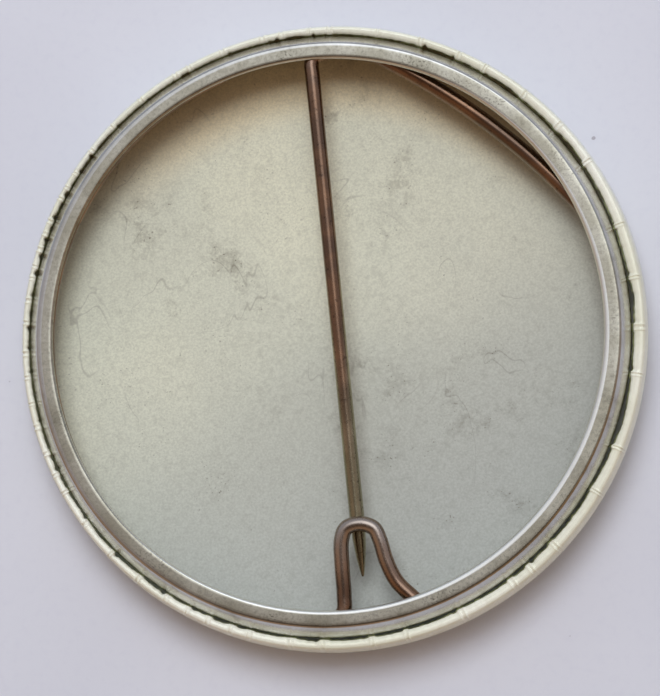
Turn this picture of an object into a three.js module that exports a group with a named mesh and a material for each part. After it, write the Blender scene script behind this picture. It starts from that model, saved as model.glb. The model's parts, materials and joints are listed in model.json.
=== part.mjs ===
// A pin-back button badge, 44.8 mm across, lying on its face.
// A pressed tinplate shell carries a paper disc and a clear film. Their rims fold over the shell's edge,
// and a collet ring pressed in from behind clamps them. The collet's lip holds one bent spring wire,
// which makes the pin, the ring that anchors it and the catch that its point slides under.
// Millimetres. The back faces +Z, and the origin is the middle of the face.
import * as THREE from 'three';

const { degToRad } = THREE.MathUtils;

// The badge
const BADGE_RADIUS = 22.4;
const ROUND_SEGMENTS = 48;

// The face: flat in the middle, then a shallow dome, a tight shoulder and a wall that leans inwards
const FLAT_RADIUS = 6;
const DOME_RADIUS = 100;
const SHOULDER_RADIUS = 1.6;
const WALL_LEAN = degToRad(12);

// The fold, where film and paper turn over the shell's edge and are tucked down inside it
const FOLD_RADIUS = 0.31;
const FOLD_MIDDLE_HEIGHT = 3.98;
const TUCK_DEPTH = 0.4;

// Each layer lies between two depths under the outside of the badge
const FILM_DEPTHS = [0, 0.06];
const PAPER_DEPTHS = [0.08, 0.17];
const SHELL_DEPTHS = [0.19, 0.4];

// The collet: a leaning skirt, a rounded shoulder and a level band that ends in the lip
const SHEET = 0.2;
const COLLET_RADIUS = 21.15;
const COLLET_FOOT_RADIUS = 20.65;
const COLLET_FOOT_HEIGHT = 1.9;
const COLLET_CREST_RADIUS = 20.5;
const COLLET_CREST_HEIGHT = 4.95;
const COLLET_BEND_HEIGHT = 3.95;
const LIP_RADIUS = 19.5;
const LIP_DROOP = 0.07;

// The spring wire
const WIRE_RADIUS = 0.53;
const WIRE_SIDES = 10;
const RING_RADIUS = 20.2;
const RING_HEIGHT = 4.1;
const RING_STEP = degToRad(10);
const RING_FREE_END = degToRad(112);
const DIP_MIDDLE = degToRad(51);
const DIP_REACH = degToRad(30);
const DIP_DEPTH = 1.55;
const DIP_SAG = 0.6;

// The pin, from the bend that it springs from to its point
const PIN_ROOT = new THREE.Vector3(-1.1, 19.2, RING_HEIGHT);
const PIN_POINT = new THREE.Vector3(2.4, -17.05, 2.99);
const PIN_TAPER = 4;

// The catch, an eyelid of wire that stands in from the ring over the point of the pin
const CROWN = new THREE.Vector3(2.35, -13.4, 4.4);
const CATCH_HALF_WIDTH = 1.28;

function finish(color, roughness, metalness) {
  return new THREE.MeshStandardMaterial({ color, roughness, metalness });
}

function arc(middle, radiusX, radiusY, from, to, steps) {
  const points = [];
  for (let i = 0; i <= steps; i += 1) {
    const angle = from + ((to - from) * i) / steps;
    const reach = new THREE.Vector2(radiusX * Math.cos(angle), radiusY * Math.sin(angle));
    points.push(reach.add(middle));
  }
  return points;
}

// Spins a profile of (radius, height) points round the Z axis.
function turned(profile) {
  const geometry = new THREE.LatheGeometry(profile, ROUND_SEGMENTS);
  return geometry.rotateX(Math.PI / 2);
}

// The shoulder's middle lies where the shoulder meets both the dome and the badge's radius.
function shoulderMiddle() {
  const reach = DOME_RADIUS - SHOULDER_RADIUS;
  const out = BADGE_RADIUS - SHOULDER_RADIUS - FLAT_RADIUS;
  const slope = Math.asin(out / reach);
  return { slope, middle: new THREE.Vector2(FLAT_RADIUS + out, DOME_RADIUS - reach * Math.cos(slope)) };
}

// The middle of the fold: level with FOLD_MIDDLE_HEIGHT and FOLD_RADIUS inside the leaning wall.
function foldMiddle() {
  const { middle } = shoulderMiddle();
  const rise = FOLD_MIDDLE_HEIGHT - middle.y;
  const inside = (SHOULDER_RADIUS - FOLD_RADIUS) / Math.cos(WALL_LEAN);
  return new THREE.Vector2(middle.x + inside - rise * Math.tan(WALL_LEAN), FOLD_MIDDLE_HEIGHT);
}

// The line of the badge's wall at a depth under the outside, from the middle of the face outwards.
function faceLine(depth) {
  const { slope, middle } = shoulderMiddle();
  const down = -Math.PI / 2;
  const dome = DOME_RADIUS - depth;
  const shoulder = SHOULDER_RADIUS - depth;
  const domeMiddle = new THREE.Vector2(FLAT_RADIUS, DOME_RADIUS);
  return [
    new THREE.Vector2(0, depth),
    ...arc(domeMiddle, dome, dome, down, down + slope, 3),
    ...arc(middle, shoulder, shoulder, down + slope, WALL_LEAN, 5).slice(1),
  ];
}

// The same line carried on over the fold and down into the tuck.
function foldedLine(depth) {
  const middle = foldMiddle();
  const radius = FOLD_RADIUS - depth;
  const fold = arc(middle, radius, radius, WALL_LEAN, Math.PI, 5);
  const tuck = new THREE.Vector2(middle.x - radius, middle.y - TUCK_DEPTH);
  return [...faceLine(depth), ...fold, tuck];
}

function foldedSkin([outside, inside]) {
  return turned([...foldedLine(outside), ...foldedLine(inside).reverse()]);
}

// The shell stops at the fold, with a square cut edge.
function shellCup([outside, inside]) {
  const edge = (depth) => {
    const reach = FOLD_RADIUS - depth;
    const out = new THREE.Vector2(Math.cos(WALL_LEAN), Math.sin(WALL_LEAN));
    return foldMiddle().addScaledVector(out, reach);
  };
  const outer = [...faceLine(outside), edge(outside)];
  const inner = [...faceLine(inside), edge(inside)];
  return turned([...outer, ...inner.reverse()]);
}

function colletLine(depth) {
  const bend = new THREE.Vector2(COLLET_CREST_RADIUS, COLLET_BEND_HEIGHT);
  const across = COLLET_RADIUS - COLLET_CREST_RADIUS - depth;
  const up = COLLET_CREST_HEIGHT - COLLET_BEND_HEIGHT - depth;
  const lipHeight = COLLET_CREST_HEIGHT - LIP_DROOP - depth;
  return [
    new THREE.Vector2(COLLET_FOOT_RADIUS - depth, COLLET_FOOT_HEIGHT),
    ...arc(bend, across, up, 0, Math.PI / 2, 5),
    new THREE.Vector2(LIP_RADIUS, lipHeight),
  ];
}

function colletRing() {
  const profile = [...colletLine(0), ...colletLine(SHEET).reverse()];
  return turned([...profile, profile[0].clone()]);
}

// A route that is stepped evenly between its points, so that tight bends keep their short steps.
class WireRoute extends THREE.CatmullRomCurve3 {
  getPointAt(u, target) {
    return this.getPoint(u, target);
  }

  getTangentAt(u, target) {
    return this.getTangent(u, target);
  }
}

// The ring isn't quite round: next to the pin it dips inwards and down from under the lip.
function ringPoint(angle) {
  const dip = Math.max(0, 1 - ((angle - DIP_MIDDLE) / DIP_REACH) ** 2);
  const radius = RING_RADIUS - DIP_DEPTH * dip;
  return new THREE.Vector3(radius * Math.cos(angle), radius * Math.sin(angle), RING_HEIGHT - DIP_SAG * dip);
}

function ringArc(from, to) {
  const steps = Math.round(Math.abs(to - from) / RING_STEP);
  const points = [];
  for (let i = 0; i <= steps; i += 1) {
    points.push(ringPoint(from + ((to - from) * i) / steps));
  }
  return points;
}

// From the right of the ring, up one leg, round the crown and down the other leg to the left.
function catchPoints() {
  const { x, y, z } = CROWN;
  const low = RING_HEIGHT;
  const half = CATCH_HALF_WIDTH;
  return [
    new THREE.Vector3(x + 4.95, y - 5.4, low),
    new THREE.Vector3(x + 3.4, y - 4.65, low),
    new THREE.Vector3(x + 2.45, y - 3.85, low + 0.05),
    new THREE.Vector3(x + 1.8, y - 2.5, low + 0.18),
    new THREE.Vector3(x + half + 0.1, y - 1.1, z - 0.02),
    new THREE.Vector3(x + half * 0.75, y - 0.3, z),
    new THREE.Vector3(x, y, z),
    new THREE.Vector3(x - half * 0.75, y - 0.3, z),
    new THREE.Vector3(x - half, y - 1.1, z - 0.02),
    new THREE.Vector3(x - half + 0.03, y - 3, low + 0.15),
    new THREE.Vector3(x - half + 0.15, y - 4.9, low),
    new THREE.Vector3(x - half + 0.1, y - 6.05, low),
    new THREE.Vector3(x - half - 0.75, y - 6.82, low),
  ];
}

function springRing() {
  const pinEnd = degToRad(90.5);
  const points = [
    ...ringArc(pinEnd, degToRad(-64)),
    ...catchPoints(),
    ...ringArc(degToRad(-97), RING_FREE_END - 2 * Math.PI),
  ];
  const route = new WireRoute(points, false, 'centripetal');
  const section = new THREE.Shape(arc(new THREE.Vector2(), WIRE_RADIUS, WIRE_RADIUS, 0, 2 * Math.PI, WIRE_SIDES));
  return new THREE.ExtrudeGeometry(section, { steps: (points.length - 1) * 2, extrudePath: route });
}

// The pin is drawn along Y from a round root to a slim point, then laid along its own line.
function pinArm() {
  const length = PIN_ROOT.distanceTo(PIN_POINT);
  const straight = length - PIN_TAPER;
  const taperSteps = 6;
  const point = [];
  for (let i = 1; i <= taperSteps; i += 1) {
    const along = i / taperSteps;
    point.push(new THREE.Vector2(WIRE_RADIUS * (1 - along ** 1.6), straight + along * PIN_TAPER));
  }
  const root = arc(new THREE.Vector2(), WIRE_RADIUS, WIRE_RADIUS, -Math.PI / 2, 0, 4);
  root[0].x = 0;
  point[taperSteps - 1].x = 0;
  return new THREE.LatheGeometry([...root, new THREE.Vector2(WIRE_RADIUS, straight), ...point], WIRE_SIDES);
}

function mesh(name, geometry, material) {
  const made = new THREE.Mesh(geometry, material);
  made.name = name;
  return made;
}

const badge = new THREE.Group();
badge.add(mesh('clear_film', foldedSkin(FILM_DEPTHS), finish(0xdcdcd0, 0.15, 0)));
badge.add(mesh('face_paper', foldedSkin(PAPER_DEPTHS), finish(0xe6e3d4, 0.85, 0)));
badge.add(mesh('front_shell', shellCup(SHELL_DEPTHS), finish(0xb9b09c, 0.45, 0.8)));
badge.add(mesh('collet_ring', colletRing(), finish(0x9c978a, 0.3, 0.9)));

const springWire = new THREE.Group();
const copperWash = finish(0x8a5a35, 0.35, 0.9);
springWire.add(mesh('spring_ring', springRing(), copperWash));
const pin = mesh('pin_arm', pinArm(), copperWash.clone());
pin.position.copy(PIN_ROOT);
const along = PIN_POINT.clone().sub(PIN_ROOT).normalize();
pin.quaternion.setFromUnitVectors(new THREE.Vector3(0, 1, 0), along);
springWire.add(pin);
badge.add(springWire);

export default badge;
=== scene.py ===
# A pin-back button badge lying face down on white paper, put together in the order it is made:
# tinplate shell, paper disc, clear film, collet ring, then the spring wire and its pin.
import json
import math
import random

import bpy
import numpy as np
from mathutils import Matrix, Vector, noise


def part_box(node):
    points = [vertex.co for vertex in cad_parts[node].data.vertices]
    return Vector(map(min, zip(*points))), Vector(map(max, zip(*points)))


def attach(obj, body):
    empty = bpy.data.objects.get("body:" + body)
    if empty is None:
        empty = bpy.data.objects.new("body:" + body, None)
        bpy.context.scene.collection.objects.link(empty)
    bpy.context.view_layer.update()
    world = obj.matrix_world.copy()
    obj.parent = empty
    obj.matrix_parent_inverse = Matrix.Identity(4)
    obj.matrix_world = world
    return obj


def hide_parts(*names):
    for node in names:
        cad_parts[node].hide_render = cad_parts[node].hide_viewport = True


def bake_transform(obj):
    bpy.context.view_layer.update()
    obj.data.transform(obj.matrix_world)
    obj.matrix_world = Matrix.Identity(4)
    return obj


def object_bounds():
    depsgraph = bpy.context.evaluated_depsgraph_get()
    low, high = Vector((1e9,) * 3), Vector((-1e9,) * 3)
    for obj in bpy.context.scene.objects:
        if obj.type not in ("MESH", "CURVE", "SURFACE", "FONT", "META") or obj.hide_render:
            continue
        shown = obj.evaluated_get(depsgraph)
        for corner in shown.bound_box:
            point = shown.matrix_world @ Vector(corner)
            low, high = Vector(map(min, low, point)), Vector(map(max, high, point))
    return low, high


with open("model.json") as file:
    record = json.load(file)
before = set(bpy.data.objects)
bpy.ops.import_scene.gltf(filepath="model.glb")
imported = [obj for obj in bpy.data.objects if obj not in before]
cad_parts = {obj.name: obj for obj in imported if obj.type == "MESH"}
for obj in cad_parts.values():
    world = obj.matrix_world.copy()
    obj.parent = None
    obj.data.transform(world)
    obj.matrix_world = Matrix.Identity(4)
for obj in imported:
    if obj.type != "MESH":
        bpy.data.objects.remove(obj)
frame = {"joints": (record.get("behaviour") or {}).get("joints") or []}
cad_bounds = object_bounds()

# ---------------------------------------------------------------- front shell
# A shallow cup pressed from 0.2 mm tinplate. Its inside is the floor of the open back: dull,
# speckled metal with rub marks. The paper and the film are folded over its square cut edge.
MM = 0.001
TURN = 2 * math.pi
BADGE_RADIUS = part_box("clear_film")[1][0] / MM
DOME_RADIUS = 100
DOME_START = 6
SHOULDER_RADIUS = 1.6
WALL_LEAN = math.radians(12)
FOLD_RADIUS = 0.31
FOLD_HEIGHT = 3.98
SHELL_DEPTHS = (0.19, 0.4)
SHELL_EDGE_DROP = 0.12
FLOOR_RADIUS = 19
FLOOR_WAVE = 0.0072
PRESS_RING = (15.5, 1.6, 0.02)


class Value:
    """A node's output in one material. Sums, products and comparisons add Math nodes to it."""

    def __init__(self, tree, socket=None):
        self.tree = tree
        self.socket = socket

    def make(self, kind, settings=None, sockets=None, out=0):
        node = self.tree.nodes.new(kind)
        for name, setting in (settings or {}).items():
            setattr(node, name, setting)
        for name, value in (sockets or {}).items():
            if isinstance(value, Value):
                self.tree.links.new(value.socket, node.inputs[name])
            else:
                node.inputs[name].default_value = value
        return Value(self.tree, node.outputs[out] if node.outputs else None)

    def math(self, operation, *values):
        return self.make("ShaderNodeMath", {"operation": operation}, dict(enumerate(values)))

    def __add__(self, other):
        return self.math("ADD", self, other)

    def __radd__(self, other):
        return self.math("ADD", other, self)

    def __sub__(self, other):
        return self.math("SUBTRACT", self, other)

    def __rsub__(self, other):
        return self.math("SUBTRACT", other, self)

    def __mul__(self, other):
        return self.math("MULTIPLY", self, other)

    def __pow__(self, other):
        return self.math("POWER", self, other)

    def __abs__(self):
        return self.math("ABSOLUTE", self)

    def __gt__(self, other):
        return self.math("GREATER_THAN", self, other)

    def part(self, axis):
        return self.make("ShaderNodeSeparateXYZ", None, {0: self}, axis)

    def dot(self, direction):
        sockets = {0: self, 1: direction}
        return self.make("ShaderNodeVectorMath", {"operation": "DOT_PRODUCT"}, sockets, "Value")

    def from_axis(self):
        """How far a place is from the badge's axis."""
        flat = self.make("ShaderNodeVectorMath", {"operation": "MULTIPLY"}, {0: self, 1: (1, 1, 0)})
        return self.make("ShaderNodeVectorMath", {"operation": "LENGTH"}, {0: flat}, "Value")

    def soft_step(self, low, high):
        """0 below low, 1 above high and smooth between, or falling where low is above high."""
        ends = {"From Min": low, "From Max": high}
        return self.make("ShaderNodeMapRange", {"interpolation_type": "SMOOTHSTEP"}, {0: self, **ends})


def tint(red, green, blue):
    """A linear colour from the red, green and blue that a screen shows, 0 to 255."""
    linear = [((c / 255 + 0.055) / 1.055) ** 2.4 if c > 10 else c / 3294.6 for c in (red, green, blue)]
    return (*linear, 1)


def new_material(name):
    """An empty material, and a Value to grow its nodes from."""
    material = bpy.data.materials.new(name)
    material.use_nodes = True
    material.node_tree.nodes.clear()
    return material, Value(material.node_tree)


def place(start, stretch=(1, 1, 1)):
    """Where a point of the piece is, in metres, stretched along each axis."""
    at = start.make("ShaderNodeTexCoord", out="Object")
    return start.make("ShaderNodeMapping", None, {"Vector": at, "Scale": stretch})


def grain(at, scale, detail=2.0, rough=0.5, bend=0.0):
    inputs = {"Vector": at, "Scale": scale, "Detail": detail, "Roughness": rough, "Distortion": bend}
    return at.make("ShaderNodeTexNoise", None, inputs, "Fac")


def mixed(factor, first, second):
    """The first colour where factor is 0, the second where it is 1."""
    return factor.make("ShaderNodeMix", {"data_type": "RGBA"}, {0: factor, 6: first, 7: second}, 2)


def bumped(height, depth, strength):
    """A relief whose height of 1 stands depth metres up."""
    inputs = {"Height": height, "Distance": depth, "Strength": strength}
    return height.make("ShaderNodeBump", None, inputs)


def finish(start, **sockets):
    """The material's one surface shader. A socket's name has _ for each space."""
    named = {name.replace("_", " "): value for name, value in sockets.items()}
    shader = start.make("ShaderNodeBsdfPrincipled", None, named)
    start.make("ShaderNodeOutputMaterial", None, {"Surface": shader})


def arc(middle, reach, start, end, steps):
    """Points of (radius, height) on an arc whose reach is (across, up)."""
    angles = np.linspace(start, end, steps + 1)
    return [(middle[0] + reach[0] * math.cos(a), middle[1] + reach[1] * math.sin(a)) for a in angles]


def face_line(depth, fineness=1):
    """The wall of the badge at a depth in mm under its outside, from the middle of the face out."""
    out = BADGE_RADIUS - SHOULDER_RADIUS - DOME_START
    reach = DOME_RADIUS - SHOULDER_RADIUS
    slope = math.asin(out / reach)
    shoulder = (DOME_START + out, DOME_RADIUS - reach * math.cos(slope))
    down = -math.pi / 2
    dome = DOME_RADIUS - depth
    corner = SHOULDER_RADIUS - depth
    line = [(0, depth), (DOME_START / 2, depth)]
    line += arc((DOME_START, DOME_RADIUS), (dome, dome), down, down + slope, 10 * fineness)
    line += arc(shoulder, (corner, corner), down + slope, WALL_LEAN, 10 * fineness)[1:]
    return line


def fold_middle():
    """The middle of the fold: inside the leaning wall by the fold's radius."""
    out = BADGE_RADIUS - SHOULDER_RADIUS - DOME_START
    reach = DOME_RADIUS - SHOULDER_RADIUS
    low = DOME_RADIUS - reach * math.cos(math.asin(out / reach))
    inside = (SHOULDER_RADIUS - FOLD_RADIUS) / math.cos(WALL_LEAN)
    rise = FOLD_HEIGHT - low
    return (DOME_START + out + inside - rise * math.tan(WALL_LEAN), FOLD_HEIGHT)


def solid(name, points, faces, *materials):
    mesh = bpy.data.meshes.new(name)
    mesh.from_pydata(points, [], faces)
    mesh.polygons.foreach_set("use_smooth", [True] * len(faces))
    for material in materials:
        mesh.materials.append(material)
    piece = bpy.data.objects.new(name, mesh)
    bpy.context.collection.objects.link(piece)
    return piece


def even_turns(count):
    return np.arange(count) * (TURN / count)


def spun(name, profile, turns, shape, *materials):
    """Spins a profile in mm round Z. It starts and ends on the axis, or else it is a closed loop.

    shape(turn, radius, height) moves the points of the grid before they are made."""
    line = np.array(profile, float)
    capped = line[0, 0] == 0
    turn = turns[:, None]
    segments = len(turns)
    radius = np.broadcast_to(line[:, 0], (segments, len(line)))
    height = np.broadcast_to(line[:, 1], (segments, len(line)))
    radius, height = shape(turn, radius, height)
    grid = np.stack([radius * np.cos(turn), radius * np.sin(turn), height], -1) * MM
    if capped:
        poles = [grid[0, 0], grid[0, -1]]
        grid = grid[:, 1:-1]
    count = grid.shape[1]
    around = np.arange(segments)[:, None] * count
    beside = np.roll(around, -1, 0)
    along = np.arange(count - 1 if capped else count)
    after = (along + 1) % count
    faces = np.stack([around + along, beside + along, beside + after, around + after], -1)
    faces = faces.reshape(-1, 4).tolist()
    points = grid.reshape(-1, 3).tolist()
    if capped:
        first = len(points)
        points += [list(pole) for pole in poles]
        pairs = list(zip(around[:, 0].tolist(), beside[:, 0].tolist()))
        last = count - 1
        faces += [[first, b, a] for a, b in pairs]
        faces += [[first + 1, a + last, b + last] for a, b in pairs]
    return solid(name, points, faces, *materials)


def shell_metal():
    material, start = new_material("dull_tinplate")
    at = place(start)
    tone = grain(at, 60, 3, 0.55)
    warmth = grain(place(start, (1, 1, 0)), 34, 2)
    fine = grain(at, 6200, 2, 0.7)
    coarse = grain(at, 1600, 3, 0.6)
    specks = grain(at, 5200, 1, 0.4).soft_step(0.68, 0.76) * grain(at, 300, 2).soft_step(0.42, 0.7)
    marks = abs(grain(place(start, (1, 0.6, 1)), 150, 2, 0.5, 1.4) - 0.5).soft_step(0.008, 0.0)
    marks = marks * grain(at, 130, 1).soft_step(0.52, 0.64)
    smudge = grain(at, 300, 5, 0.8).soft_step(0.52, 0.7) * grain(at, 90, 1).soft_step(0.46, 0.62)
    # Painted shade: the floor's colour turns greyer and darker toward the lower right, where less light
    # falls.
    painted_shade_toward_lower_right = at.dot((-0.5, 0.86, 0)).soft_step(0.012, -0.016)
    light = mixed(warmth.soft_step(0.35, 0.65), tint(236, 234, 206), tint(224, 227, 204))
    base = mixed(tone.soft_step(0.3, 0.75), light, tint(216, 216, 194))
    base = mixed(painted_shade_toward_lower_right * 0.85, base, tint(180, 182, 174))
    # A painted warm penumbra: a tan tint on the floor near the top, where the edge of the lip's shadow
    # falls.
    painted_warm_penumbra = at.from_axis().soft_step(0.0155, 0.0183) * at.part("Y").soft_step(0.008, 0.016)
    base = mixed(painted_warm_penumbra * 0.4, base, tint(220, 184, 118))
    base = mixed(fine.soft_step(0.3, 0.7) * 0.26, base, tint(130, 130, 112))
    base = mixed(coarse.soft_step(0.45, 0.75) * 0.13, base, tint(120, 112, 98))
    base = mixed(specks * 0.6 + marks * 0.3 + smudge * 0.36, base, tint(96, 84, 68))
    rough = 0.44 + fine * 0.14 - marks * 0.2 + smudge * 0.15
    relief = bumped(fine + coarse * 0.4, 0.000006, 0.6)
    finish(start, Base_Color=base, Roughness=rough, Metallic=0.06, Normal=relief)
    return material


def pressed(turn, radius, height):
    """The floor isn't quite true: it has a faint ring and a shallow spring from the press."""
    ring_radius, ring_width, ring_depth = PRESS_RING
    wave = FLOOR_WAVE * np.cos(2 * turn + 0.6) * (radius / BADGE_RADIUS) ** 2
    ring = ring_depth * np.exp(-(((radius - ring_radius) / ring_width) ** 2))
    return radius, height + np.where(radius < FLOOR_RADIUS, wave - ring, 0)


outer, inner = SHELL_DEPTHS
middle = fold_middle()
edge = []
for depth in SHELL_DEPTHS:
    reach = FOLD_RADIUS - depth
    edge_radius = middle[0] + reach * math.cos(WALL_LEAN) + SHELL_EDGE_DROP * math.tan(WALL_LEAN)
    edge.append((edge_radius, middle[1] + reach * math.sin(WALL_LEAN) - SHELL_EDGE_DROP))
profile = face_line(outer, 2) + edge + face_line(inner, 2)[::-1]
shell = spun("pressed_shell", profile, even_turns(360), pressed, shell_metal())
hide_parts("front_shell")
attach(shell, "badge")

# ------------------------------------------------------- paper disc and clear film
# A plain white paper disc under a disc of clear film. Both are drawn over the shell's edge by the
# press, and the spare width gathers there in pleats. The film's cut edge shows beside the collet.
PAPER_DEPTHS = (0.08, 0.17)
FILM_DEPTHS = (0.0, 0.06)
PLEATS = 56
FOLD_REACH = 0.52
FOLD_STEPS = 1150
COLLET_RADIUS = 21.34
COLLET_SHIFT = 0.2
COLLET_SHIFT_WAY = math.radians(157)
GAP_LEAST = 0.025
GAP_MOST = 0.085
GAP_LIMITS = (0.012, 0.34)
PLEAT_SPAN = 0.42
RIDGE_WIDTH = 0.05
RIDGE_OUT = 0.045
RIDGE_UP = 0.05
SLACK = 0.03
RIM_RADIUS = 20
RIM_HEIGHT = 3.2
WALL_FOOT = 2.0
WALL_HEIGHT = 2.1

pleat_dice = random.Random(11)


def collet_out(turn):
    """How far out the collet's skirt stands: it is clamped a little off the middle."""
    return COLLET_RADIUS + COLLET_SHIFT * np.cos(turn - COLLET_SHIFT_WAY)


def pleat_places():
    """The press gathers the skins more closely on one side than on the other."""
    at = 0
    places = []
    for _ in range(PLEATS):
        at += pleat_dice.uniform(0.5, 1.5) * (1 + 0.38 * math.cos(at / PLEATS * TURN + 0.35))
        places.append(at)
    return np.array(places) / at * TURN


def pleat_turns(places):
    """Even steps round the rim, and short steps over each pleat."""
    near = np.linspace(-PLEAT_SPAN, PLEAT_SPAN, 29) / BADGE_RADIUS
    turns = np.concatenate([even_turns(FOLD_STEPS), *(places[:, None] + near)]) % TURN
    turns = np.sort(turns)
    return turns[np.append(np.diff(turns) > 0.0002, True)]


def pleat_pattern(turns, places):
    """At each step round the rim: its ridges, how far its edge reaches in, in mm, and how torn it is."""
    ridges = np.zeros_like(turns)
    reach = np.zeros_like(turns)
    spans = np.diff(np.append(places, places[0] + TURN))
    for at, span in zip(places, spans):
        away = ((turns - at + math.pi) % TURN - math.pi) * BADGE_RADIUS
        half = pleat_dice.uniform(0.1, 0.2)
        for off in (-half, half):
            lift = pleat_dice.uniform(0.5, 1.0)
            ridges += lift * np.exp(-(((away - off) / RIDGE_WIDTH) ** 2))
        ridges -= pleat_dice.uniform(0.4, 0.9) * np.exp(-((away / (half * 0.55)) ** 2))
        reach += pleat_dice.uniform(0.1, 0.3) / (1 + (np.abs(away) / (half + 0.05)) ** 6)
        side = pleat_dice.choice((-1, 1))
        from_notch = np.abs(away - side * (half + 0.24))
        notch = np.clip(1 - from_notch / pleat_dice.uniform(0.18, 0.34), 0, 1)
        reach -= pleat_dice.uniform(0.0, 0.16) * notch
        along = ((turns - at) % TURN) / span
        skew = pleat_dice.uniform(0.6, 1.7)
        open_side = 0.5 + 0.5 * math.cos(at + 0.4)
        lens = np.sin(math.pi * np.clip(along, 0, 1) ** skew)
        reach -= pleat_dice.choice((0.0, 0.4, 1.0)) * (0.04 + 0.1 * open_side) * lens
    slow = np.array([noise.noise(Vector((4 * math.cos(t), 4 * math.sin(t), 5))) for t in turns])
    torn = np.array([noise.noise(Vector((90 * math.cos(t), 90 * math.sin(t), 2))) for t in turns])
    reach += 0.06 * slow
    return ridges, reach, torn


PLEAT_PLACES = pleat_places()
RIM_TURNS = pleat_turns(PLEAT_PLACES)
RIDGES, REACH, TORN = pleat_pattern(RIM_TURNS, PLEAT_PLACES)


def gathered(ragged):
    """Moves the folded part of a skin: ridges run up the wall, and its edge reaches in at a pleat."""

    def shape(turn, radius, height):
        ridges, reach, torn = (a[:, None] for a in (RIDGES, REACH, TORN))
        up_wall = np.clip((height - WALL_FOOT) / WALL_HEIGHT, 0, 1) ** 1.5
        rise = np.where(radius > FLOOR_RADIUS, up_wall, 0)
        over = np.clip((middle[0] + 0.1 - radius) / (FOLD_REACH + 0.1), 0, 1)
        over = over * (height > RIM_HEIGHT) * (radius > RIM_RADIUS)
        room = middle[0] - FOLD_REACH - collet_out(turn)
        wide = 0.5 - 0.5 * np.cos(turn - COLLET_SHIFT_WAY)
        gap = GAP_LEAST + (GAP_MOST - GAP_LEAST) * wide - reach - ragged * 0.1 * torn
        inward = room - np.clip(gap, *GAP_LIMITS)
        radius = radius + rise * (1 - over) * (RIDGE_OUT * ridges - SLACK)
        radius = radius - over**1.3 * inward
        height = height + rise * RIDGE_UP * (ridges - (over > 0) * np.clip(-reach, 0, 1))
        height = height + (height < FOLD_HEIGHT) * over * ragged * 0.1 * torn
        return radius, height

    return shape


def folded_line(depth, short=0.0):
    """The face's line carried over the fold to the cut edge, which may stop a little short."""
    reach = FOLD_RADIUS - depth
    line = face_line(depth)
    top = np.array(line[-1])
    bend = (middle[0] + reach * math.cos(WALL_LEAN), middle[1] + reach * math.sin(WALL_LEAN))
    line += [tuple(top + (bend - top) * k / 6) for k in range(1, 6)]
    line += arc(middle, (reach, reach), WALL_LEAN, math.pi / 2, 6)
    line += arc(middle, (FOLD_REACH - depth, reach), math.pi / 2, math.pi, 9)[1:]
    drop = 0.1 - short
    line += [(middle[0] - FOLD_REACH + depth, FOLD_HEIGHT - drop * k / 2) for k in (1, 2)]
    return line


def rim_lines(start):
    """Fine lines that run round the rim, as the press draws the skins over it."""
    inputs = {"W": place(start).from_axis(), "Scale": 9000}
    return start.make("ShaderNodeTexNoise", {"noise_dimensions": "1D"}, inputs, "Fac")


def paper_stock():
    material, start = new_material("white_paper")
    at = place(start)
    fibre = grain(at, 2600, 3, 0.65, 0.4)
    cloud = grain(at, 160, 2)
    base = mixed(cloud.soft_step(0.3, 0.7), tint(251, 250, 234), tint(240, 239, 216))
    base = mixed(fibre.soft_step(0.35, 0.75) * 0.2, base, tint(206, 198, 172))
    base = mixed(rim_lines(start).soft_step(0.5, 0.75) * 0.25, base, tint(190, 180, 146))
    relief = bumped(fibre, 0.000006, 0.4)
    finish(start, Base_Color=base, Roughness=0.7, Normal=relief)
    return material


def clear_film():
    material, start = new_material("clear_film")
    at = place(start)
    scuff = grain(at, 420, 4, 0.65).soft_step(0.5, 0.8)
    facing = start.make("ShaderNodeLayerWeight", None, {"Blend": 0.4}, "Facing")
    alpha = 0.05 + facing**3 * 0.45
    rough = 0.07 + scuff * 0.16
    relief = bumped(rim_lines(start) + grain(at, 900, 2) * 0.6, 0.000009, 0.5)
    base = tint(252, 253, 236)
    finish(start, Base_Color=base, Metallic=1.0, Roughness=rough, Alpha=alpha, Normal=relief)
    return material


def film_edge():
    """Light trapped in the film comes out at its cut edge, which looks pale yellow-green."""
    material, start = new_material("film_cut_edge")
    tone = grain(place(start), 1400, 3, 0.6)
    base = mixed(tone.soft_step(0.3, 0.7), tint(200, 206, 146), tint(112, 118, 66))
    finish(start, Base_Color=base, Roughness=0.2, Alpha=0.9)
    return material


outer, inner = PAPER_DEPTHS
profile = folded_line(outer, 0.05) + folded_line(inner, 0.05)[::-1]
paper = spun("face_paper_disc", profile, RIM_TURNS, gathered(0.5), paper_stock())
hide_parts("face_paper")
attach(paper, "badge")

outer, inner = FILM_DEPTHS
outside = folded_line(outer)
profile = outside + folded_line(inner)[::-1]
film = spun("clear_film_disc", profile, RIM_TURNS, gathered(1.0), clear_film(), film_edge())
rows = len(profile) - 3
row = np.arange(len(RIM_TURNS) * rows) % rows
is_edge = (row >= len(outside) - 4) & (row < len(outside) - 1)
is_edge = np.append(is_edge, np.zeros(2 * len(RIM_TURNS), bool))
film.data.polygons.foreach_set("material_index", is_edge.astype(np.int32))
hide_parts("clear_film")
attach(film, "badge")

# ---------------------------------------------------------------- collet ring
# A ring drawn from 0.2 mm tinplate and pressed into the back. Its skirt clamps the fold against
# the shell, and its lip, with a plain sheared edge, keeps the wire in.
SHEET = 0.2
COLLET_FOOT = (20.65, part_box("collet_ring")[0][2] / MM)
COLLET_CREST = (20.42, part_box("collet_ring")[1][2] / MM)
COLLET_BEND = 0.28
COLLET_SLOPE = math.radians(52)
LIP_RADIUS = 19.43
LIP_DROOP = 0.045
LIP_SHEAR = 0.16


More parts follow.
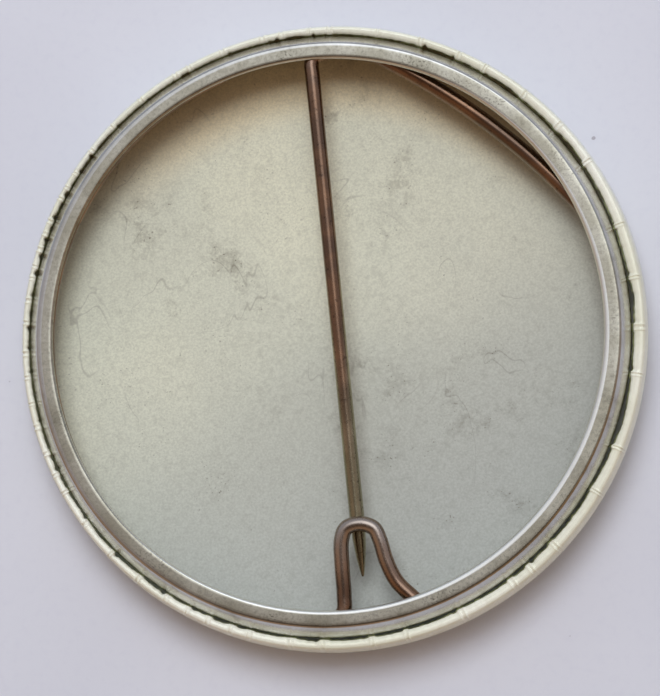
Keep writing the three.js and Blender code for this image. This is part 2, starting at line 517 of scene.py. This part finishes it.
def collet_line(depth):
    """The sheet's line at a depth: up the skirt, in along a cone, over the crest, along the lip."""
    bend = COLLET_BEND - depth
    crest_middle = (COLLET_CREST[0], COLLET_CREST[1] - COLLET_BEND)
    across = COLLET_RADIUS - COLLET_BEND - COLLET_CREST[0]
    skirt_middle = (COLLET_CREST[0] + across, crest_middle[1] - across * math.tan(COLLET_SLOPE))
    tilt = math.pi / 2 - COLLET_SLOPE
    line = [(COLLET_FOOT[0] - depth, COLLET_FOOT[1]), (COLLET_RADIUS - depth - 0.1, 3.4)]
    line += arc(skirt_middle, (bend, bend), 0, tilt, 8)
    low, high = np.array(line[-1]), np.array(arc(crest_middle, (bend, bend), tilt, tilt, 1)[0])
    line += [tuple(low + (high - low) * k / 6) for k in range(1, 6)]
    line += arc(crest_middle, (bend, bend), tilt, math.pi / 2, 10)
    flat = COLLET_CREST[0] - LIP_RADIUS - LIP_SHEAR
    for k in (0.2, 0.4, 0.6, 0.8, 1):
        line.append((COLLET_CREST[0] - k * flat, COLLET_CREST[1] - depth - LIP_DROOP * k**1.2))
    return line


def sheared_edge(top, bottom):
    """The lip's cut edge leans in: a bright burnished face, a small step, then a torn face."""
    (x, z), (low_x, low_z) = top, bottom
    return [
        (x - 0.02, z - 0.006),
        (x - 0.08, z - 0.05),
        (x - 0.092, z - 0.062),
        (x - 0.098, z - 0.085),
        (x - 0.11, z - 0.092),
        (LIP_RADIUS + 0.012, low_z + 0.035),
        (LIP_RADIUS, low_z + 0.012),
        (LIP_RADIUS + 0.02, low_z),
        (low_x - 0.05, low_z),
    ]


def collet_metal():
    material, start = new_material("drawn_tinplate")
    at = place(start)
    out = at.from_axis()
    band = out.soft_step(0.02046, 0.02036)
    edge = out.soft_step(0.01965, 0.01955)
    speck = grain(at, 4200, 3, 0.7)
    cloud = grain(at, 330, 3, 0.6)
    pits = grain(at, 6500, 1).soft_step(0.55, 0.68) * grain(at, 210, 2).soft_step(0.5, 0.68) * band
    worn = grain(at, 900, 2).soft_step(0.55, 0.72) * cloud.soft_step(0.45, 0.62)
    bright = mixed(cloud.soft_step(0.3, 0.7), tint(206, 205, 200), tint(188, 186, 178))
    dull = mixed(cloud.soft_step(0.3, 0.7), tint(190, 186, 170), tint(166, 161, 143))
    base = mixed(band * (1 - edge), bright, dull)
    base = mixed(speck.soft_step(0.4, 0.75) * (0.1 + band * 0.22), base, tint(96, 91, 80))
    base = mixed(worn * 0.22 + pits * 0.6, base, tint(84, 78, 66))
    base = mixed(edge * 0.8, base, tint(248, 248, 240))
    rough = 0.13 + band * 0.05 + speck * 0.05 + worn * 0.1
    relief = bumped(speck * (1 - edge), 0.000005, 0.3)
    finish(start, Base_Color=base, Roughness=rough + edge * 0.1, Metallic=1.0, Normal=relief)
    return material


top_line = collet_line(0)
under_line = collet_line(SHEET)
profile = top_line + sheared_edge(top_line[-1], under_line[-1]) + under_line[::-1]


def drawn(turn, radius, height):
    """The ring stands a little off the middle, and its crest isn't quite level."""
    out = COLLET_SHIFT * np.cos(turn - COLLET_SHIFT_WAY) + 0.006 * np.cos(5 * turn)
    low = -0.012 + 0.012 * np.cos(3 * turn + 2)
    return radius + out, height + np.where(height > 4.2, low, 0)


collet = spun("collet", profile, even_turns(720), drawn, collet_metal())
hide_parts("collet_ring")
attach(collet, "badge")

# ------------------------------------------------------------------ spring ring
# The part of the one spring wire that stays put: the ring under the collet's lip, which dips
# inwards beside the pin, and the catch, bent in from the ring over the point of the pin.
WIRE_RADIUS = 0.53
RING_RADIUS = 20.2
RING_HEIGHT = 4.1
DIP_MIDDLE = math.radians(51)
DIP_REACH = math.radians(30)
DIP_DEPTH = 1.55
DIP_SAG = 0.6
CROWN = (2.35, -13.4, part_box("spring_ring")[1][2] / MM - WIRE_RADIUS)
CATCH_HALF_WIDTH = 1.28
WIRE_SIDES = 40
WIRE_STEP = 0.12
END_STEPS = (0.09, 0.06, 0.035, 0.015, 0.004, 0)
STUB_ANGLE = math.radians(84)


def copper_wash():
    """Copper washed on drawn steel: rubbed to brass on the lower pin, and paler on top of the catch,
    partly from wear and partly as a painted highlight.

    Its marks go by where the wire was made, so they stay on it as it turns or bends."""
    material, start = new_material("copper_washed_wire")
    way = start.make("ShaderNodeAttribute", {"attribute_name": "wire_way"}, out="Vector")
    drawn_way = start.make("ShaderNodeMapping", None, {"Vector": way, "Scale": (9, 9, 0.12)})
    streaks = grain(drawn_way, 1, 3, 0.6)
    at = start.make("ShaderNodeAttribute", {"attribute_name": "made_at"}, out="Vector")
    patch = grain(at, 260, 3, 0.6)
    pits = grain(at, 3000, 2, 0.6)
    bare = at.part("Y").soft_step(0.017, 0.002) * at.part("Z").soft_step(0.0040, 0.0036)
    copper = mixed(patch.soft_step(0.36, 0.62), tint(142, 107, 80), tint(108, 84, 66))
    brass = mixed(patch.soft_step(0.36, 0.62), tint(180, 172, 144), tint(148, 140, 112))
    base = mixed(bare, copper, brass)
    base = mixed(streaks.soft_step(0.5, 0.8) * 0.5, base, tint(54, 38, 30))
    base = mixed(pits.soft_step(0.58, 0.75) * 0.6, base, tint(44, 30, 22))
    # Partly wear and partly a painted highlight: the top of the wire is made paler so that its highlight
    # looks whitish.
    worn = at.part("Z").soft_step(0.0045, 0.00492)
    base = mixed(worn * 0.6, base, tint(200, 188, 176))
    rough = 0.16 + pits * 0.12 + streaks * 0.08
    relief = bumped(streaks + pits * 0.4, 0.000008, 0.5)
    coat = {"Coat_Weight": 0.5, "Coat_Roughness": 0.16}
    finish(start, Base_Color=base, Roughness=rough, Metallic=1.0, Normal=relief, **coat)
    return material


def smooth_route(points):
    """A centripetal Catmull-Rom curve through the points in mm, at even steps, and its run."""
    p = np.array(points, float)
    p = np.vstack([2 * p[0] - p[1], p, 2 * p[-1] - p[-2]])
    fine = []
    for a, b, c, d in zip(p, p[1:], p[2:], p[3:]):
        t0 = 0.0
        t1 = t0 + np.linalg.norm(b - a) ** 0.5
        t2 = t1 + np.linalg.norm(c - b) ** 0.5
        t3 = t2 + np.linalg.norm(d - c) ** 0.5
        t = np.linspace(t1, t2, 40, endpoint=False)[:, None]
        ab = ((t1 - t) * a + (t - t0) * b) / (t1 - t0)
        bc = ((t2 - t) * b + (t - t1) * c) / (t2 - t1)
        cd = ((t3 - t) * c + (t - t2) * d) / (t3 - t2)
        abc = ((t2 - t) * ab + (t - t0) * bc) / (t2 - t0)
        bcd = ((t3 - t) * bc + (t - t1) * cd) / (t3 - t1)
        fine.append(((t2 - t) * abc + (t - t1) * bcd) / (t2 - t1))
    fine = np.vstack([*fine, p[-2:-1]])
    run = np.concatenate([[0], np.cumsum(np.linalg.norm(np.diff(fine, axis=0), axis=1))])
    even = np.linspace(0, run[-1], round(run[-1] / WIRE_STEP) + 1)
    even = np.append(even[:-1], run[-1] - np.array(END_STEPS))
    return np.stack([np.interp(even, run, fine[:, k]) for k in range(3)], -1), even


def wire(name, points, radius_at, material):
    """A round wire along a route, closed at both ends. radius_at(distance left) gives its radius."""
    route, run = smooth_route(points)
    ahead = np.gradient(route, axis=0)
    ahead /= np.linalg.norm(ahead, axis=1)[:, None]
    side = np.cross(ahead, (0, 0, 1))
    side /= np.linalg.norm(side, axis=1)[:, None]
    over = np.cross(side, ahead)
    angle = np.arange(WIRE_SIDES) * (TURN / WIRE_SIDES)
    radius = radius_at(run[-1] - run)[:, None, None]
    across, up = np.cos(angle)[None, :, None], np.sin(angle)[None, :, None]
    grid = (route[:, None] + radius * (across * side[:, None] + up * over[:, None])) * MM
    count = len(route)
    here = np.arange(WIRE_SIDES)
    beside = np.roll(here, -1)
    at = np.arange(count - 1)[:, None] * WIRE_SIDES
    after = at + WIRE_SIDES
    faces = np.stack([at + here, after + here, after + beside, at + beside], -1)
    faces = faces.reshape(-1, 4).tolist()
    points = grid.reshape(-1, 3).tolist()
    ends = len(points)
    points += [(route[0] * MM).tolist(), (route[-1] * MM).tolist()]
    far = (count - 1) * WIRE_SIDES
    for a, b in zip(here.tolist(), beside.tolist()):
        faces.append([ends, a, b])
        faces.append([ends + 1, far + b, far + a])
    piece = solid(name, points, faces, material)
    made_at = piece.data.attributes.new("made_at", "FLOAT_VECTOR", "POINT")
    made_at.data.foreach_set("vector", np.ravel(points).astype(np.float32))
    way = piece.data.attributes.new("wire_way", "FLOAT_VECTOR", "POINT")
    stations = np.empty((count, WIRE_SIDES, 3))
    stations[..., 0] = np.cos(angle)
    stations[..., 1] = np.sin(angle)
    stations[..., 2] = run[:, None]
    stations = np.vstack([stations.reshape(-1, 3), [[0, 0, run[0]], [0, 0, run[-1]]]])
    way.data.foreach_set("vector", stations.ravel().astype(np.float32))
    return piece


def ring_arc(start, end):
    """Points along the ring, which dips inwards near the pin."""
    points = []
    for angle in np.linspace(start, end, round(abs(end - start) / math.radians(4)) + 1):
        dip = max(0, 1 - ((angle - DIP_MIDDLE) / DIP_REACH) ** 2)
        radius = RING_RADIUS - DIP_DEPTH * dip
        points.append((radius * math.cos(angle), radius * math.sin(angle), RING_HEIGHT - DIP_SAG * dip))
    return points


def catch_points():
    """Up the right leg, round the crown over the pin, and down the left leg."""
    x, y, z = CROWN
    low = RING_HEIGHT
    half = CATCH_HALF_WIDTH
    return [
        (x + 4.6, y - 5.62, low),
        (x + 3.28, y - 4.72, low),
        (x + 2.45, y - 3.85, low + 0.05),
        (x + 1.8, y - 2.5, low + 0.18),
        (x + half + 0.1, y - 1.1, z - 0.02),
        (x + half * 0.75, y - 0.3, z),
        (x, y, z),
        (x - half * 0.75, y - 0.3, z),
        (x - half, y - 1.1, z - 0.02),
        (x - half + 0.03, y - 3, low + 0.15),
        (x - half + 0.15, y - 4.9, low),
        (x - half + 0.1, y - 6.05, low),
        (x - half - 0.75, y - 6.82, low),
    ]


def full_width(left):
    return np.full_like(left, WIRE_RADIUS)


wire_metal = copper_wash()
ring_points = ring_arc(STUB_ANGLE, math.radians(-64)) + catch_points()
ring_points += ring_arc(math.radians(-97), math.radians(-248))
spring = wire("spring_wire", ring_points, full_width, wire_metal)
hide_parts("spring_ring")
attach(spring, "wire")

# ---------------------------------------------------------------------- pin arm
# The rest of the same wire: it leaves the ring under the lip in a tight bend, crosses the back
# and ends in a slim ground point under the catch. It springs at the bend.
hinge = next(joint for joint in frame["joints"] if joint["name"] == "pin_release")
PIN_ROOT = np.array(hinge["pos_m"]) / MM
PIN_POINT = np.array((2.4, -17.05, 2.99))
PIN_TAPER = 4.2
PIN_TIP_RADIUS = 0.08


def ground_point(left):
    """The wire's radius, which a grinder brings down to a slim point over the last few mm."""
    taper = np.clip(left / PIN_TAPER, 0, 1)
    slim = PIN_TIP_RADIUS + (WIRE_RADIUS - PIN_TIP_RADIUS) * (1 - (1 - taper) ** 2.1)
    nose = np.clip(left / PIN_TIP_RADIUS, 0.02, 1)
    return slim * np.sqrt(1 - (1 - nose) ** 2)


lay = (PIN_POINT - PIN_ROOT) / np.linalg.norm(PIN_POINT - PIN_ROOT)
bend_points = ring_arc(STUB_ANGLE, math.radians(88))
bend_points += [(-0.35, 20.1, RING_HEIGHT), (-0.95, 19.78, RING_HEIGHT), tuple(PIN_ROOT - lay * 0.05)]
bend_points += [tuple(PIN_ROOT + lay * k) for k in (0.6, 1.5, 4, 9, 15, 21, 27, 32)] + [tuple(PIN_POINT)]
pin = wire("pin_wire", bend_points, ground_point, wire_metal)
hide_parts("pin_arm")
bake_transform(pin)

# ------------------------------------------------------------------ paper table
# The badge lies on a sheet of white drawing paper with a faint tooth and a few specks of dust.
TABLE_HALF = 0.4
TABLE_GAP = 0.00002


def table_paper():
    material, start = new_material("drawing_paper")
    at = place(start)
    tooth = grain(at, 1300, 4, 0.6)
    cloud = grain(at, 35, 2)
    lines = grain(place(start, (0.2, 1, 1)), 1100, 2, 0.5)
    dust = (grain(at, 1300, 0, 0.3) > 0.89) * 0.5
    base = mixed(cloud.soft_step(0.3, 0.7), tint(220, 221, 226), tint(214, 215, 221))
    base = mixed(tooth.soft_step(0.45, 0.8) * 0.12, base, tint(190, 190, 205))
    base = mixed(dust, base, tint(120, 105, 110))
    relief = bumped(tooth + lines * 0.5, 0.00002, 0.35)
    finish(start, Base_Color=base, Roughness=0.85, Normal=relief)
    return material


low = cad_bounds[0][2] - TABLE_GAP
corners = [(x * TABLE_HALF, y * TABLE_HALF, low) for x, y in ((-1, -1), (1, -1), (1, 1), (-1, 1))]
table = solid("paper_table", corners, [(0, 1, 2, 3)], table_paper())

# ------------------------------------------------------------- light and camera
# A lamp beyond the top of the badge gives the soft shadows. The metal mirrors the room: a bright
# window, cool and warm walls, and the dark viewer. The camera leans ten degrees to the lower right.
LIGHT_AWAY = 0.3
LIGHT_SIZE = 0.14
LIGHT_POWER = 0.4
LIGHT_LEAN = math.radians(25)
LIGHT_SIDE = math.radians(95)
WINDOW_LEAN = math.radians(26)
WINDOW_SIDE = math.radians(75)
VIEWER_WAY = (0.0, -0.42, 0.91)
ROOM_STRENGTH = 0.85
CAMERA_LEAN = math.radians(10)
CAMERA_SIDE = math.radians(-41.3)
CAMERA_AWAY = 0.130
CAMERA_AIM = Vector((0.00002, -0.00094, 0.0025))
CAMERA_NEAR = 0.005
FILM_WIDTH = 36
LENS = 99.83455


def towards(lean, side):
    """The direction that leans off the vertical, round to a side."""
    out = math.sin(lean)
    return Vector((out * math.cos(side), out * math.sin(side), math.cos(lean)))


lamp = bpy.data.lights.new("window", "AREA")
lamp.shape = "RECTANGLE"
lamp.size = LIGHT_SIZE
lamp.size_y = LIGHT_SIZE
lamp.energy = LIGHT_POWER
lamp.color = (0.92, 0.97, 1.08)
beam = towards(LIGHT_LEAN, LIGHT_SIDE)
held = bpy.data.objects.new("window", lamp)
held.location = beam * LIGHT_AWAY
held.rotation_euler = (-beam).to_track_quat("-Z", "Y").to_euler()
held.visible_camera = False
held.visible_glossy = False
bpy.context.collection.objects.link(held)

world = bpy.data.worlds.new("room")
world.use_nodes = True
world.node_tree.nodes.clear()
room = Value(world.node_tree)
ray = room.make("ShaderNodeTexCoord", out="Generated")
wall = mixed(ray.part("Y").soft_step(-0.35, 0.5), (0.46, 0.31, 0.21, 1), (0.56, 0.60, 0.70, 1))
wall = mixed(ray.dot(VIEWER_WAY).soft_step(0.84, 0.95) * 0.8, wall, (0.05, 0.035, 0.03, 1))
window = ray.dot(tuple(towards(WINDOW_LEAN, WINDOW_SIDE))).soft_step(0.89, 0.99)
wall = mixed(window, wall, (2.3, 2.4, 2.6, 1))
sky = room.make("ShaderNodeBackground", None, {"Color": wall, "Strength": ROOM_STRENGTH})
room.make("ShaderNodeOutputWorld", None, {"Surface": sky})
bpy.context.scene.world = world

eye = bpy.data.cameras.new("camera")
eye.sensor_fit = "HORIZONTAL"
eye.sensor_width = FILM_WIDTH
eye.lens = LENS
eye.clip_start = CAMERA_NEAR
back = towards(CAMERA_LEAN, CAMERA_SIDE)
upward = (Vector((0, 1, 0)) - back * back.y).normalized()
stand = Matrix((upward.cross(back), upward, back)).transposed().to_4x4()
stand.translation = CAMERA_AIM + back * CAMERA_AWAY
camera = bpy.data.objects.new("camera", eye)
camera.matrix_world = stand
bpy.context.collection.objects.link(camera)
bpy.context.scene.camera = camera
bpy.context.scene.view_settings.view_transform = "Standard"
